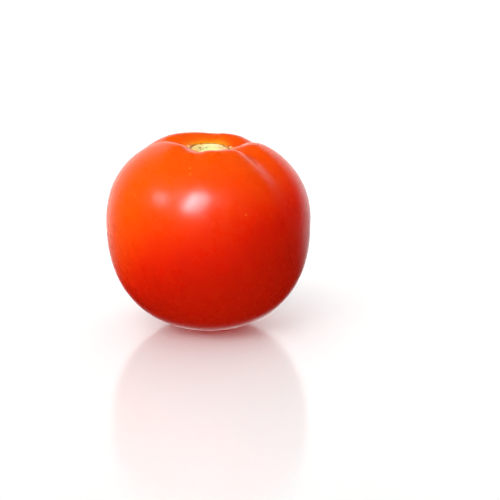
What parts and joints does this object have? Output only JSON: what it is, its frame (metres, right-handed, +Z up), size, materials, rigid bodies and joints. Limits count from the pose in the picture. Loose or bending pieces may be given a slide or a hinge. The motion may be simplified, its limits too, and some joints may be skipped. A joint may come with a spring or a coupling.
{
  "type": "tomato",
  "caption": "Whole ripe round tomato without its calyx: uneven lobes, a shallow crown dimple with a pale stem scar, and a small flat spot that it rests on.",
  "frame": {"origin": "centre of the flat spot that the tomato rests on", "axes": "+Z up, from the flat spot towards the stem scar; -Y towards the front, the side with one wide lobe between two creases"},
  "size_m": [0.0673, 0.0686, 0.0627],
  "materials": {
    "skin": "smooth waxy tomato skin, orange-red at the shoulders to deep red below, with a dry cream and pale green stem scar"
  },
  "bodies": {
    "root": {"tomato": "skin"}
  },
  "joints": []
}
